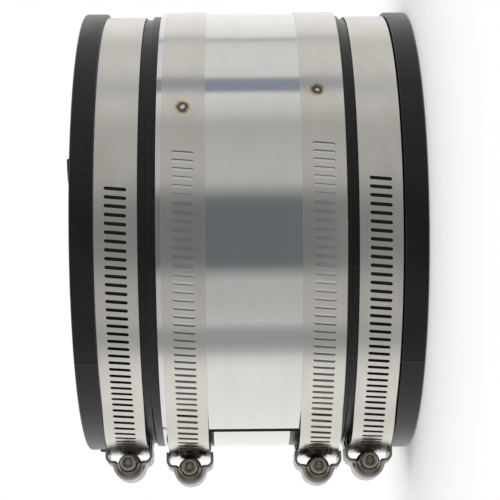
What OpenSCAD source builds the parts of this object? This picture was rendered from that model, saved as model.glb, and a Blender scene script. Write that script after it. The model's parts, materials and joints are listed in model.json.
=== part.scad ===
// Shielded flexible pipe coupling: a rubber sleeve with a thin stainless shear ring
// around its middle and four worm-drive clamps. The bore lies along Z and the origin
// is at the middle of the bore. All sizes are in millimetres.

/* [Rubber sleeve] */
// Bore of the sleeve
bore_d = 168; // [164:0.5:170]
// Length of the sleeve
sleeve_len = 130; // [129:0.5:140]
// Diameter of the two clamp grooves
groove_d = 175.9; // [174:0.1:176]
// Diameter of the raised middle under the shear ring
middle_d = 178.4; // [177:0.1:178.4]
// Diameter of the end rims
rim_d = 180.8; // [179:0.1:182]
// Length of the raised middle
middle_len = 74.4; // [72:0.1:76]
// Length of each end rim
rim_len = 8.7; // [8:0.1:8.8]
// Bevel on the rim and bore edges
edge_bevel = 0.9; // [0.5:0.1:1.2]

/* [Shear ring] */
// Outside diameter of the shear ring
shield_d = 180.4; // [180.4:0.1:180.8]
// Sheet thickness of the shear ring
shield_t = 0.3; // [0.2:0.05:0.3]
// Lower end of the shear ring along the bore
shield_low = -35.5; // [-36:0.1:-35.4]
// Upper end of the shear ring along the bore
shield_high = 33.8; // [32:0.1:36]
// Lower edge of the narrow tongue that slides under the lap
tongue_low = -15.9; // [-17:0.1:-12]
// Upper edge of the narrow tongue that slides under the lap
tongue_high = 14.1; // [10:0.1:14.2]

/* [Straps] */
// Width of each strap
strap_w = 15.88; // [15.8:0.01:15.9]
// Thickness of each strap
strap_t = 0.65; // [0.5:0.05:0.7]
// How far the strap rises off its seat to pass through the housing
strap_lift = 4; // [3.6:0.1:4.5]
// Free length of the strap behind the housing, as an angle
tail_angle = 30; // [28:1:40]
// Spacing of the slots along the strap
slot_pitch = 3.175; // [3.1:0.005:3.2]
// Length of one slot
slot_len = 8.2; // [7:0.1:9]
// Width of one slot
slot_w = 1.3; // [1.2:0.05:1.4]
// Slant of the slots
slot_slant = 5; // [3:0.5:7]

/* [Clamps] */
// Angle of the worm housings around the bore
housing_angle = 17; // [0:1:30]
// Length of each worm housing
housing_len = 17.4; // [16:0.1:17.6]
// Sheet thickness of each worm housing
housing_t = 1.1; // [0.9:0.1:1.2]
// Crest radius of the worm
worm_r = 4.7; // [4.5:0.1:4.8]
// Depth of the worm thread
thread_h = 1.1; // [0.9:0.1:1.2]
// How deep the worm dips into the slots
mesh_depth = 0.4; // [0.3:0.05:0.45]
// Size of the hexagon head across its flats
hex_af = 7.94; // [7:0.01:8]
// How far a strap can be wound in, as an angle around the bore
travel_angle = 9; // [4:0.5:9]

/* [Hidden] */

$fn = 96;
RUBBER = "#2b2b2c";
SHEET = "#c9cbcb";
STRAP = "#d4d2cc";
STAMPED = "#b9b9b7";
PLATED = "#9c957e";

eps = 0.02;
clear = 0.3;

// The four clamps, from the top of the bore to the bottom
UPPER_OUTER = 0;
UPPER_INNER = 1;
LOWER_INNER = 2;
LOWER_OUTER = 3;
clamp_z = [48.3, 23.9, -27.4, -47.8];
// Angle from each housing to the first slot of its strap
slots_from = [85.6, 95.2, 97.2, 89.4];

shield_r = shield_d / 2;
groove_r = groove_d / 2;
middle_r = middle_d / 2;
rim_r = rim_d / 2;
tongue_r = shield_r - 2 * shield_t - 0.05;
lap_angle = 17;
lap_hidden = 20;
sheet_end = 337;

// Where the strap runs at its lifted height, and where it has come down to its seat
lifted_to = 5.5 + travel_angle;
seated_from = lifted_to + 15.5;
band_end_low = -19;
band_end_stop = -21;
strap_start = 338;

wall_z = strap_w / 2 + 0.31;
barrel_ri = worm_r + clear;
barrel_ro = barrel_ri + housing_t + 0.2;
front = 5;
back = front + 3 - housing_len;
bearing_gap = 0.05;

// The screw, along its own axis from its middle: tip to the front, head behind
tip_r = 3.7;
tip_from = 7.4;
tip_reach = 12.2;
cup_r = 1.7;
cup_depth = 1.3;
body_half = 8.2;
neck_r = 3.3;
neck_len = 2.6;
flange_r = 3.85;
flange_t = 1.6;
head_h = 5.6;
drive_w = 1.4;
drive_depth = 1.6;
worm_from = -7.1;
worm_to = 6.2;

// The fixed end of the strap and the saddle under it, as angles from the housing
band_end_half = 5;
band_end_flat = 5.5;
band_end_tip = 6.2;
saddle_half = 3.5;
saddle_foot = 6.6;
saddle_t = 0.9;
saddle_trim = 0.4;

function is_inner(i) = i == UPPER_INNER || i == LOWER_INNER;
function strap_ri(i) = is_inner(i) ? shield_r : groove_r + clear;
function rubber_r(i) = is_inner(i) ? middle_r : groove_r;
function lifted_ri(i) = strap_ri(i) + strap_lift;
function mesh_r(i) = lifted_ri(i) + strap_t - mesh_depth / 2;
function screw_r(i) = lifted_ri(i) + strap_t - mesh_depth + worm_r;
function band_end_ri(i) = lifted_ri(i) - clear - strap_t;
function ease(s) = s * s * (3 - 2 * s);
function polar(r, a) = [r * cos(a), r * sin(a)];

// Slots are evenly spaced along the strap, so they open out in angle where it is seated
function lifted_step(i) = slot_pitch / mesh_r(i) * 180 / PI;
function seated_step(i) = slot_pitch / (strap_ri(i) + strap_t / 2) * 180 / PI;
function slot_angle(i, k) =
    k * lifted_step(i) <= lifted_to
        ? k * lifted_step(i)
        : lifted_to + (k - lifted_to / lifted_step(i)) * seated_step(i);
function slot_count(i) = floor((slots_from[i] - lifted_to) / seated_step(i) + lifted_to / lifted_step(i));

// ---- shared shapes ----

// Part of a flat-sided ring between two angles
module band_arc(r_in, t, w, from, to) {
    rotate([0, 0, from])
        rotate_extrude(angle = to - from)
            translate([r_in, -w / 2])
                square([t, w]);
}

// A stretch of strap that changes radius smoothly between two angles
module band_ramp(r_from, r_to, t, w, from, to) {
    steps = 12;
    lead = 0.6;
    radii = [for (k = [0 : steps]) r_from + (r_to - r_from) * ease(k / steps)];
    angles = [for (k = [0 : steps]) from + (to - from) * k / steps];
    all_r = concat([r_from], radii, [r_to]);
    all_a = concat([from - lead * sign(to - from)], angles, [to + lead * sign(to - from)]);
    last = len(all_r) - 1;
    outside = [for (k = [0 : last]) polar(all_r[k] + t - eps, all_a[k])];
    inside = [for (k = [last : -1 : 0]) polar(all_r[k] + eps, all_a[k])];
    translate([0, 0, -w / 2 + eps])
        linear_extrude(height = w - 2 * eps)
            polygon(concat(outside, inside));
}

module at_clamp(i) {
    translate([0, 0, clamp_z[i]])
        rotate([0, 0, housing_angle])
            children();
}

// Turns a shape drawn along Z so that it lies along the screw of a clamp
module along_screw(i) {
    translate([screw_r(i), 0, 0])
        rotate([-90, 0, 0])
            children();
}

// ---- the sleeve and the shear ring ----

module sleeve_outline() {
    half = sleeve_len / 2;
    mid = middle_len / 2;
    rim = half - rim_len;
    bore_r = bore_d / 2;
    polygon([
        [bore_r + edge_bevel, -half], [rim_r - edge_bevel, -half],
        [rim_r, -half + edge_bevel], [rim_r, -rim],
        [groove_r, -rim], [groove_r, -mid],
        [middle_r, -mid], [middle_r, mid],
        [groove_r, mid], [groove_r, rim],
        [rim_r, rim], [rim_r, half - edge_bevel],
        [rim_r - edge_bevel, half], [bore_r + edge_bevel, half],
        [bore_r, half - edge_bevel], [bore_r, -half + edge_bevel]
    ]);
}

module sleeve() {
    color(RUBBER)
        rotate_extrude()
            sleeve_outline();
}

// The sheet goes once around at full width and ends in a tongue that runs between
// the inner clamps and under the lap
module shear_ring() {
    sheet_w = shield_high - shield_low;
    tongue_w = tongue_high - tongue_low;
    color(SHEET)
        rotate([0, 0, housing_angle]) {
            translate([0, 0, shield_low + sheet_w / 2])
                band_arc(shield_r - shield_t, shield_t, sheet_w, lap_angle, sheet_end);
            translate([0, 0, tongue_low + tongue_w / 2]) {
                band_arc(tongue_r, shield_t, tongue_w, sheet_end - 363, lap_angle + lap_hidden);
                band_arc(tongue_r + eps, 2 * shield_t, tongue_w - 2 * eps, sheet_end - 362.5, sheet_end - 360.5);
            }
        }
}

// ---- one clamp ----

module slot_cutter() {
    straight = slot_len - slot_w;
    rotate([-slot_slant, 0, 0])
        rotate([0, 90, 0])
            linear_extrude(height = strap_lift + strap_t + 1) {
                square([straight, slot_w], center = true);
                for (end = [-1, 1])
                    translate([end * straight / 2, 0])
                        circle(d = slot_w, $fn = 24);
            }
}

// The slotted strap: seated on the coupling, then lifted through the housing to its tail
module strap(i) {
    low = strap_ri(i);
    high = lifted_ri(i);
    first = -floor((tail_angle - 2) / lifted_step(i));
    color(STRAP)
        at_clamp(i)
            difference() {
                union() {
                    band_arc(low, strap_t, strap_w, seated_from, strap_start);
                    band_ramp(high, low, strap_t, strap_w, lifted_to, seated_from);
                    band_arc(high, strap_t, strap_w, -tail_angle, lifted_to);
                }
                for (k = [first : slot_count(i)])
                    rotate([0, 0, slot_angle(i, k)])
                        translate([(slot_angle(i, k) < lifted_to - 1 ? high : low) - 0.5, 0, 0])
                            slot_cutter();
            }
}

// The fixed end of the strap, held in the housing under the sliding part
module band_end(i) {
    high = band_end_ri(i);
    color(STRAP)
        at_clamp(i) {
            band_arc(high, strap_t, 2 * wall_z, -band_end_half, band_end_half);
            band_arc(high, strap_t, strap_w, -band_end_flat, band_end_tip);
            band_ramp(high, strap_ri(i), strap_t, strap_w, -band_end_flat, band_end_low);
            band_arc(strap_ri(i), strap_t, strap_w, band_end_stop, band_end_low);
        }
}

// The arched plate that carries the fixed end and bears on the rubber
module saddle(i) {
    plate_w = strap_w - saddle_trim;
    high = band_end_ri(i) - saddle_t;
    color(STAMPED)
        at_clamp(i) {
            band_arc(high, saddle_t, plate_w, -saddle_half, saddle_half);
            for (side = [-1, 1])
                band_ramp(high, rubber_r(i), saddle_t, plate_w, side * saddle_half, side * saddle_foot);
        }
}

// Cross-section of the pressed housing, with the screw at its origin and the strap below
module housing_outline(i) {
    edge = wall_z + housing_t;
    leg = screw_r(i) - band_end_ri(i) + 0.4;
    flare = 2.2;
    difference() {
        union() {
            circle(r = barrel_ro);
            translate([-edge, -housing_t])
                square([2 * edge, housing_t]);
            translate([-barrel_ro - flare / 2, -eps])
                square([2 * barrel_ro + flare, flare]);
            for (side = [-1, 1])
                translate([side > 0 ? wall_z : -edge, -leg])
                    square([housing_t, leg]);
        }
        for (side = [-1, 1])
            translate([side * (barrel_ro + flare / 2), flare])
                circle(r = flare);
        translate([-wall_z, -leg - 1])
            square([2 * wall_z, leg + 1 - housing_t]);
    }
}

// The pressed housing: a barrel with a domed front over the worm, and a leg on each side
module housing(i) {
    color(STAMPED)
        at_clamp(i)
            difference() {
                union() {
                    translate([screw_r(i), front + 3, 0])
                        rotate([90, 0, 0])
                            rotate([0, 0, -90])
                                difference() {
                                    linear_extrude(height = housing_len)
                                        housing_outline(i);
                                    translate([-wall_z, 0, -1])
                                        cube([2 * wall_z, 20, 4]);
                                }
                    translate([screw_r(i), front, 0])
                        intersection() {
                            sphere(r = barrel_ro);
                            translate([-housing_t, 0, -10])
                                cube([20, 20, 20]);
                        }
                }
                along_screw(i) {
                    translate([0, 0, back + housing_t])
                        cylinder(r = barrel_ri, h = front - back - housing_t);
                    cylinder(r = tip_r + bearing_gap, h = 20);
                    translate([0, 0, back - 1])
                        cylinder(r = neck_r + bearing_gap, h = 5);
                }
                translate([screw_r(i), front, 0])
                    sphere(r = barrel_ri);
            }
}

// The thread starts at the slot under the middle of the housing and turns right-handed
module worm_thread() {
    per_turn = 20;
    count = floor((worm_to - worm_from) / slot_pitch * per_turn);
    root = worm_r - thread_h - 0.3;
    foot = 0.95;
    crest = 0.34;
    ring = [[root, -foot], [worm_r, -crest], [worm_r, crest], [root, foot]];
    spots = [
        for (k = [0 : count])
            let (y = worm_from + k * slot_pitch / per_turn, turn = 360 * y / slot_pitch + 180)
                for (p = ring)
                    [p[0] * cos(turn), y + p[1], -p[0] * sin(turn)]
    ];
    sides = [
        for (k = [0 : count - 1])
            for (j = [0 : 3])
                let (a = 4 * k + j, b = 4 * k + (j + 1) % 4)
                    [a, b, b + 4, a + 4]
    ];
    ends = [[3, 2, 1, 0], [4 * count, 4 * count + 1, 4 * count + 2, 4 * count + 3]];
    polyhedron(points = spots, faces = concat(sides, ends), convexity = 12);
}

// The worm screw, with its cupped tip to the front and its slotted hexagon head behind
module screw(i) {
    flange_from = back - 0.3;
    head_from = flange_from - flange_t;
    color(PLATED)
        at_clamp(i)
            difference() {
                union() {
                    along_screw(i) {
                        translate([0, 0, -body_half])
                            cylinder(r = worm_r - thread_h, h = 2 * body_half);
                        translate([0, 0, tip_from])
                            cylinder(r = tip_r, h = tip_reach - tip_from);
                        translate([0, 0, flange_from - 1])
                            cylinder(r = neck_r, h = neck_len);
                        translate([0, 0, head_from])
                            cylinder(r = flange_r, h = flange_t);
                        translate([0, 0, head_from - head_h + eps])
                            cylinder(d = hex_af / cos(30), h = head_h, $fn = 6);
                    }
                    translate([screw_r(i), 0, 0])
                        worm_thread();
                }
                along_screw(i) {
                    translate([0, 0, tip_reach - cup_depth])
                        cylinder(r = cup_r, h = 2 * cup_depth);
                    translate([-hex_af, -drive_w / 2, head_from - head_h - drive_depth])
                        cube([2 * hex_af, drive_w, 2 * drive_depth]);
                }
            }
}

module upper_outer_strap() { strap(UPPER_OUTER); }
module upper_inner_strap() { strap(UPPER_INNER); }
module lower_inner_strap() { strap(LOWER_INNER); }
module lower_outer_strap() { strap(LOWER_OUTER); }
module upper_outer_band_end() { band_end(UPPER_OUTER); }
module upper_inner_band_end() { band_end(UPPER_INNER); }
module lower_inner_band_end() { band_end(LOWER_INNER); }
module lower_outer_band_end() { band_end(LOWER_OUTER); }
module upper_outer_saddle() { saddle(UPPER_OUTER); }
module upper_inner_saddle() { saddle(UPPER_INNER); }
module lower_inner_saddle() { saddle(LOWER_INNER); }
module lower_outer_saddle() { saddle(LOWER_OUTER); }
module upper_outer_housing() { housing(UPPER_OUTER); }
module upper_inner_housing() { housing(UPPER_INNER); }
module lower_inner_housing() { housing(LOWER_INNER); }
module lower_outer_housing() { housing(LOWER_OUTER); }
module upper_outer_screw() { screw(UPPER_OUTER); }
module upper_inner_screw() { screw(UPPER_INNER); }
module lower_inner_screw() { screw(LOWER_INNER); }
module lower_outer_screw() { screw(LOWER_OUTER); }

sleeve();
shear_ring();
upper_outer_strap();
upper_inner_strap();
lower_inner_strap();
lower_outer_strap();
upper_outer_band_end();
upper_inner_band_end();
lower_inner_band_end();
lower_outer_band_end();
upper_outer_saddle();
upper_inner_saddle();
lower_inner_saddle();
lower_outer_saddle();
upper_outer_housing();
upper_inner_housing();
lower_inner_housing();
lower_outer_housing();
upper_outer_screw();
upper_inner_screw();
lower_inner_screw();
lower_outer_screw();
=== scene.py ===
"""Looks of the shielded pipe coupling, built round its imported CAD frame.

The bore lies along Z. Angles go round the bore from +X towards +Y, in degrees.
Shapes are worked out in millimetres, in the place of each clamp, and then set down in metres.
"""

import json
import logging
import math
from collections.abc import Callable, Sequence
from dataclasses import dataclass, field
from enum import Enum

import bmesh
import bpy
from mathutils import Matrix, Vector


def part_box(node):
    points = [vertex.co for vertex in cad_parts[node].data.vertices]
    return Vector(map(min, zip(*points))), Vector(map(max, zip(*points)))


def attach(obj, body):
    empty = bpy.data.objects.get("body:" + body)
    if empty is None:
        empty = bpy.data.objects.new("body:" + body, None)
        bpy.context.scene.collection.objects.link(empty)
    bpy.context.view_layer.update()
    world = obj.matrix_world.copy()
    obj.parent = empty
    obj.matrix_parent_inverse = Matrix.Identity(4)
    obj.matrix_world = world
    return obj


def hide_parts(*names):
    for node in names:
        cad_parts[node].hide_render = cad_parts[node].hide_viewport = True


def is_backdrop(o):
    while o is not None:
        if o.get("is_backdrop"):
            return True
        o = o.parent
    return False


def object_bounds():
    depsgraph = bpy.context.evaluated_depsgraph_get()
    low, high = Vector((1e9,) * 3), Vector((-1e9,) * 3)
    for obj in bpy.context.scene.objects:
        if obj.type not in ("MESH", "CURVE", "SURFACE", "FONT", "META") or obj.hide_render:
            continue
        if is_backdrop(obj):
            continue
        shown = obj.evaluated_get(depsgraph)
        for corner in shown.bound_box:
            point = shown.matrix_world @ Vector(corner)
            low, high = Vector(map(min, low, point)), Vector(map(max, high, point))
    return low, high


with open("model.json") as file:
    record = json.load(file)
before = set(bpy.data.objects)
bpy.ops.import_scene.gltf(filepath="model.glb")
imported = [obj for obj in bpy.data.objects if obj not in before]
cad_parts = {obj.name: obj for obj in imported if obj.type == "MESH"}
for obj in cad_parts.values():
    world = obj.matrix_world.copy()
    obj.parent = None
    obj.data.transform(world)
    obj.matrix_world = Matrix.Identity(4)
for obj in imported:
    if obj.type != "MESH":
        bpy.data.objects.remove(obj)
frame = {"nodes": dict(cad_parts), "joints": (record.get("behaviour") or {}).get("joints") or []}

LOG = logging.getLogger("coupling")
MM = 0.001
POINTS_PER_MM = 2000
NOISE_MIDDLE = (0.3, 0.7)

Material = bpy.types.Material
Piece = bpy.types.Object
Node = bpy.types.Node
Socket = bpy.types.NodeSocket
Pair = tuple[float, float]
Triple = tuple[float, float, float]
Ring = list[tuple[Vector, Vector]]


class Slot(Enum):
    """The material slots of the record."""

    RUBBER = "rubber"
    SHEET = "shear_ring_sheet"
    STRAP = "strap_steel"
    HOUSING = "housing_steel"
    SCREW = "screw_plated"


class Rides(Enum):
    """The bodies that pieces ride on."""

    ROOT = "root"
    UPPER_OUTER = "upper_outer_loop"
    RING = "shear_ring_loop"
    LOWER_OUTER = "lower_outer_loop"
    UPPER_OUTER_SCREW = "upper_outer_screw"
    UPPER_INNER_SCREW = "upper_inner_screw"
    LOWER_INNER_SCREW = "lower_inner_screw"
    LOWER_OUTER_SCREW = "lower_outer_screw"


def smooth_step(share: float) -> float:
    """Eases a share from 0 to 1 with no kink at either end."""
    share = min(max(share, 0.0), 1.0)
    return share * share * (3 - 2 * share)


def polar(reach: float, angle: float, along: float = 0.0) -> Vector:
    """Gives the point at a radius, an angle in degrees and a height along the bore."""
    turn = math.radians(angle)
    return Vector((reach * math.cos(turn), reach * math.sin(turn), along))


def spread(low: float, high: float, count: int) -> list[float]:
    """Gives count + 1 evenly spaced values from low to high."""
    return [low + (high - low) * step / count for step in range(count + 1)]


# ---- finishes ----


@dataclass
class Bench:
    """Places and joins the nodes of one material or world.

    Args:
        tree: The node tree to work in.
    """

    tree: bpy.types.NodeTree

    def node(self, kind: str, inputs: dict | None = None, **settings: object) -> Node:
        """Adds a node.

        Args:
            kind: Blender's name for the node type.
            inputs: Values or output sockets for its inputs, by name or number.
            **settings: Properties of the node itself.

        Returns:
            The new node.
        """
        made = self.tree.nodes.new(kind)
        for name, value in settings.items():
            setattr(made, name, value)
        for name, value in (inputs or {}).items():
            if isinstance(value, Socket):
                self.tree.links.new(value, made.inputs[name])
            else:
                made.inputs[name].default_value = value
        return made

    def ramp(self, source: Socket, stops: Sequence[tuple[float, Sequence[float]]]) -> Node:
        """Adds a colour ramp.

        Args:
            source: The socket that drives the ramp.
            stops: Pairs of position and colour with its alpha.

        Returns:
            The ramp node.
        """
        made = self.node("ShaderNodeValToRGB", {"Fac": source})
        elements = made.color_ramp.elements
        while len(elements) > 1:
            elements.remove(elements[-1])
        elements[0].position, elements[0].color = stops[0]
        for position, colour in stops[1:]:
            elements.new(position).color = colour
        return made

    def math(self, operation: str, first: object, second: object = 0.0) -> Socket:
        """Adds a math node and gives its output."""
        return self.node("ShaderNodeMath", {0: first, 1: second}, operation=operation).outputs[0]

    def mix(self, share: object, first: object, second: object) -> Socket:
        """Mixes two colours and gives the result."""
        made = self.node("ShaderNodeMix", {0: share, 6: first, 7: second}, data_type="RGBA")
        return made.outputs[2]

    def stretched(self, scale: Sequence[float]) -> Socket:
        """Gives the object's own coordinates, scaled along each axis."""
        place = self.node("ShaderNodeTexCoord").outputs["Object"]
        return self.node("ShaderNodeMapping", {"Vector": place, "Scale": scale}).outputs[0]

    def noise(self, scale: Sequence[float], detail: float = 4.0, rough: float = 0.55) -> Socket:
        """Gives a noise value whose grain has the given scale along each axis."""
        inputs = {"Vector": self.stretched(scale), "Scale": 1.0, "Detail": detail, "Roughness": rough}
        return self.node("ShaderNodeTexNoise", inputs).outputs["Fac"]

    def span(self, source: Socket, low: float, high: float) -> Socket:
        """Maps the middle range of a noise value onto another range.

        Args:
            source: The noise value.
            low: The low end of the new range.
            high: The high end of the new range.

        Returns:
            The mapped value.
        """
        start, end = NOISE_MIDDLE
        inputs = {"Value": source, "From Min": start, "From Max": end, "To Min": low, "To Max": high}
        return self.node("ShaderNodeMapRange", inputs).outputs[0]

    def rise(self, source: Socket, span: Pair, low: float = 0.0, high: float = 1.0) -> Socket:
        """Eases from low to high as a value goes through a span.

        Args:
            source: The value.
            span: Where the easing starts and ends.
            low: What it gives before the span.
            high: What it gives after the span.

        Returns:
            The eased value.
        """
        inputs = {"Value": source, "From Min": span[0], "From Max": span[1], "To Min": low, "To Max": high}
        return self.node("ShaderNodeMapRange", inputs, interpolation_type="SMOOTHSTEP").outputs[0]

    def dress(self, shader: Node, colour: Socket, roughness: Socket, normal: Socket) -> None:
        """Joins a colour, a roughness and a normal to a surface shader."""
        for name, source in (("Base Color", colour), ("Roughness", roughness), ("Normal", normal)):
            self.tree.links.new(source, shader.inputs[name])

    def bump(self, height: Socket, depth: float, strength: float = 1.0, under: object = None) -> Socket:
        """Adds a bump.

        Args:
            height: The height value.
            depth: The depth of the relief in metres.
            strength: The strength of the effect.
            under: The normal of a bump that lies under this one.

        Returns:
            The normal output.
        """
        inputs = {"Height": height, "Distance": depth, "Strength": strength}
        if under is not None:
            inputs["Normal"] = under
        return self.node("ShaderNodeBump", inputs).outputs[0]


def new_material(name: str) -> tuple[Material, Bench, Node]:
    """Makes an empty material.

    Args:
        name: The name of the material.

    Returns:
        The material, its bench and its surface shader.
    """
    material = bpy.data.materials.new(name)
    material.use_nodes = True
    material.node_tree.nodes.clear()
    bench = Bench(material.node_tree)
    shader = bench.node("ShaderNodeBsdfPrincipled")
    bench.node("ShaderNodeOutputMaterial", {"Surface": shader.outputs[0]})
    return material, bench, shader


@dataclass(frozen=True)
class MouldedRubber:
    """Black moulded rubber with a dusty bloom and a fine grain."""

    name: str = "moulded_rubber"
    colour: Triple = (0.0032, 0.0032, 0.0034)
    bloom: Triple = (0.0085, 0.0083, 0.008)
    fleck: Triple = (0.03, 0.029, 0.027)
    roughness: Pair = (0.27, 0.4)
    ior: float = 1.38
    sheen: float = 0.03
    sheen_roughness: float = 0.35

    def make(self) -> Material:
        """Builds the material.

        Returns:
            The material.
        """
        material, bench, shader = new_material(self.name)
        patches = bench.noise((38, 38, 60), 3.0)
        flecks = bench.noise((900, 900, 900), 2.0)
        colour = bench.mix(bench.span(patches, 0.0, 1.0), (*self.colour, 1), (*self.bloom, 1))
        dusted = bench.mix(bench.math("GREATER_THAN", flecks, 0.7), colour, (*self.fleck, 1))
        flow = bench.bump(bench.noise((60, 60, 700), 3.0), 0.00003, 0.5)
        grain = bench.bump(bench.noise((2600, 2600, 2600), 2.0), 0.00001, 0.5, flow)
        bench.dress(shader, dusted, bench.span(patches, *self.roughness), grain)
        shader.inputs["IOR"].default_value = self.ior
        shader.inputs["Sheen Weight"].default_value = self.sheen
        shader.inputs["Sheen Roughness"].default_value = self.sheen_roughness
        return material


@dataclass(frozen=True)
class PaintedShadeBlack:
    """Dull black for painted shade: it colours a thin strip that stands in for the shadow line under a
    sheet's lap edge.
    """

    name: str = "painted_shade_black"
    colour: Triple = (0.004, 0.0035, 0.003)
    lighter_tone: Triple = (0.02, 0.014, 0.009)

    def make(self) -> Material:
        """Builds the material.

        Returns:
            The material.
        """
        material, bench, shader = new_material(self.name)
        # painted shade: this black and its lighter mottle stand in for the shadow line at the lap edge
        shade_mottle = bench.noise((300, 300, 90), 3.0)
        colour = bench.mix(bench.span(shade_mottle, 0.0, 0.8), (*self.colour, 1), (*self.lighter_tone, 1))
        bench.dress(shader, colour, bench.span(shade_mottle, 0.8, 0.95), bench.bump(shade_mottle, 0.00003))
        shader.inputs["Specular IOR Level"].default_value = 0.15
        return material


@dataclass(frozen=True)
class HeatTint:
    """A spot of heat colour round a weld.

    Args:
        centre: The weld's place in metres.
        reach: How far the colour spreads, in metres.
    """

    centre: Triple
    reach: float = 0.0038

    def over(self, bench: Bench, colour: Socket) -> Socket:
        """Lays the tint over a colour.

        Args:
            bench: The bench of the strap's material.
            colour: The colour under the tint.

        Returns:
            The tinted colour.
        """
        place = bench.node("ShaderNodeTexCoord").outputs["Object"]
        away = bench.node("ShaderNodeVectorMath", {0: place, 1: self.centre}, operation="DISTANCE")
        wander = bench.span(bench.noise((420, 420, 420), 2.0), -0.1, 0.1)
        share = bench.math("ADD", bench.math("DIVIDE", away.outputs["Value"], self.reach), wander)
        rings = bench.ramp(
            share,
            [
                (0.0, (0.7, 0.72, 0.7, 0.6)),
                (0.15, (0.66, 0.66, 0.62, 0.6)),
                (0.25, (0.13, 0.12, 0.14, 1.0)),
                (0.38, (0.075, 0.068, 0.085, 1.0)),
                (0.5, (0.17, 0.13, 0.09, 1.0)),
                (0.64, (0.42, 0.33, 0.15, 0.9)),
                (0.8, (0.56, 0.47, 0.28, 0.55)),
                (1.0, (0.62, 0.6, 0.5, 0.0)),
            ],
        )
        return bench.mix(rings.outputs["Alpha"], colour, rings.outputs["Color"])


@dataclass(frozen=True)
class RolledSteel:
    """Stainless strip with a grain that runs round the bore, faint smudges and worn patches.

    Args:
        name: The name of the material.
        colour: The colour of clean steel.
        smudge: The colour of handled patches.
        roughness: The lowest and highest roughness.
        grain: The depth of the grain in metres.
        waviness: The depth of the slow waviness of the sheet in metres.
        tints: Heat tints round welds.
        scuff: The colour of scuffed places.
    """

    name: str
    colour: Triple
    smudge: Triple
    roughness: Pair
    grain: float
    waviness: float
    tints: tuple[HeatTint, ...] = ()
    scuff: Triple = (0.36, 0.34, 0.31)

    def make(self) -> Material:
        """Builds the material.

        Returns:
            The material.
        """
        material, bench, shader = new_material(self.name)
        shader.inputs["Metallic"].default_value = 1.0
        marks = bench.noise((45, 45, 130), 5.0, 0.62)
        streaks = bench.noise((22, 22, 2600), 3.0)
        handled = bench.math("MULTIPLY", bench.span(marks, 0.0, 1.0), 0.5)
        colour = bench.mix(handled, (*self.colour, 1), (*self.smudge, 1))
        scuffs = bench.noise((150, 150, 900), 6.0, 0.7)
        worn = bench.math("MULTIPLY", bench.math("GREATER_THAN", scuffs, 0.69), 0.35)
        colour = bench.mix(worn, colour, (*self.scuff, 1))
        for tint in self.tints:
            colour = tint.over(bench, colour)
        mixed = bench.math("ADD", bench.math("MULTIPLY", marks, 0.6), bench.math("MULTIPLY", streaks, 0.4))
        slow = bench.bump(bench.noise((28, 28, 70), 1.0), self.waviness, 0.6)
        fine = bench.bump(streaks, self.grain, 0.5, slow)
        bench.dress(shader, colour, bench.span(mixed, *self.roughness), fine)
        return material


@dataclass(frozen=True)
class PressedMetal:
    """Pressed or machined metal with a mottled film and rubbed places.

    Args:
        name: The name of the material.
        colour: The colour of the metal.
        film: The colour of its darker film.
        roughness: The lowest and highest roughness.
        dark_reflection_from: Where a darker front, painted in as a dark reflection, starts and where it is
            full, in metres along the screw.
        dark_reflection: The colour of the painted dark reflection on the front.
    """

    name: str
    colour: Triple
    film: Triple
    roughness: Pair
    dark_reflection_from: Pair | None = None
    dark_reflection: Triple = (0.2, 0.18, 0.162)

    def make(self) -> Material:
        """Builds the material.

        Returns:
            The material.
        """
        material, bench, shader = new_material(self.name)
        shader.inputs["Metallic"].default_value = 1.0
        patches = bench.noise((260, 260, 260), 4.0)
        specks = bench.noise((1500, 1500, 1500), 3.0, 0.65)
        colour = bench.mix(bench.span(patches, 0.05, 0.5), (*self.colour, 1), (*self.film, 1))
        speckled = bench.math("MULTIPLY", bench.math("GREATER_THAN", specks, 0.68), 0.5)
        colour = bench.mix(speckled, colour, (*self.film, 1))
        # painted dark reflection: the front darkens along the screw, standing in for the dark surroundings
        # that the domed front reflects
        if self.dark_reflection_from:
            along = bench.node("ShaderNodeSeparateXYZ", {0: bench.stretched((1, 1, 1))}).outputs["Y"]
            colour = bench.mix(bench.rise(along, self.dark_reflection_from, 0.0, 0.9), colour, (*self.dark_reflection, 1))
        drawn = bench.bump(bench.noise((500, 500, 500), 2.0), 0.000015, 0.3)
        peel = bench.bump(specks, 0.000008, 0.5, drawn)
        bench.dress(shader, colour, bench.span(patches, *self.roughness), peel)
        return material


# ---- mesh work ----


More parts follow.
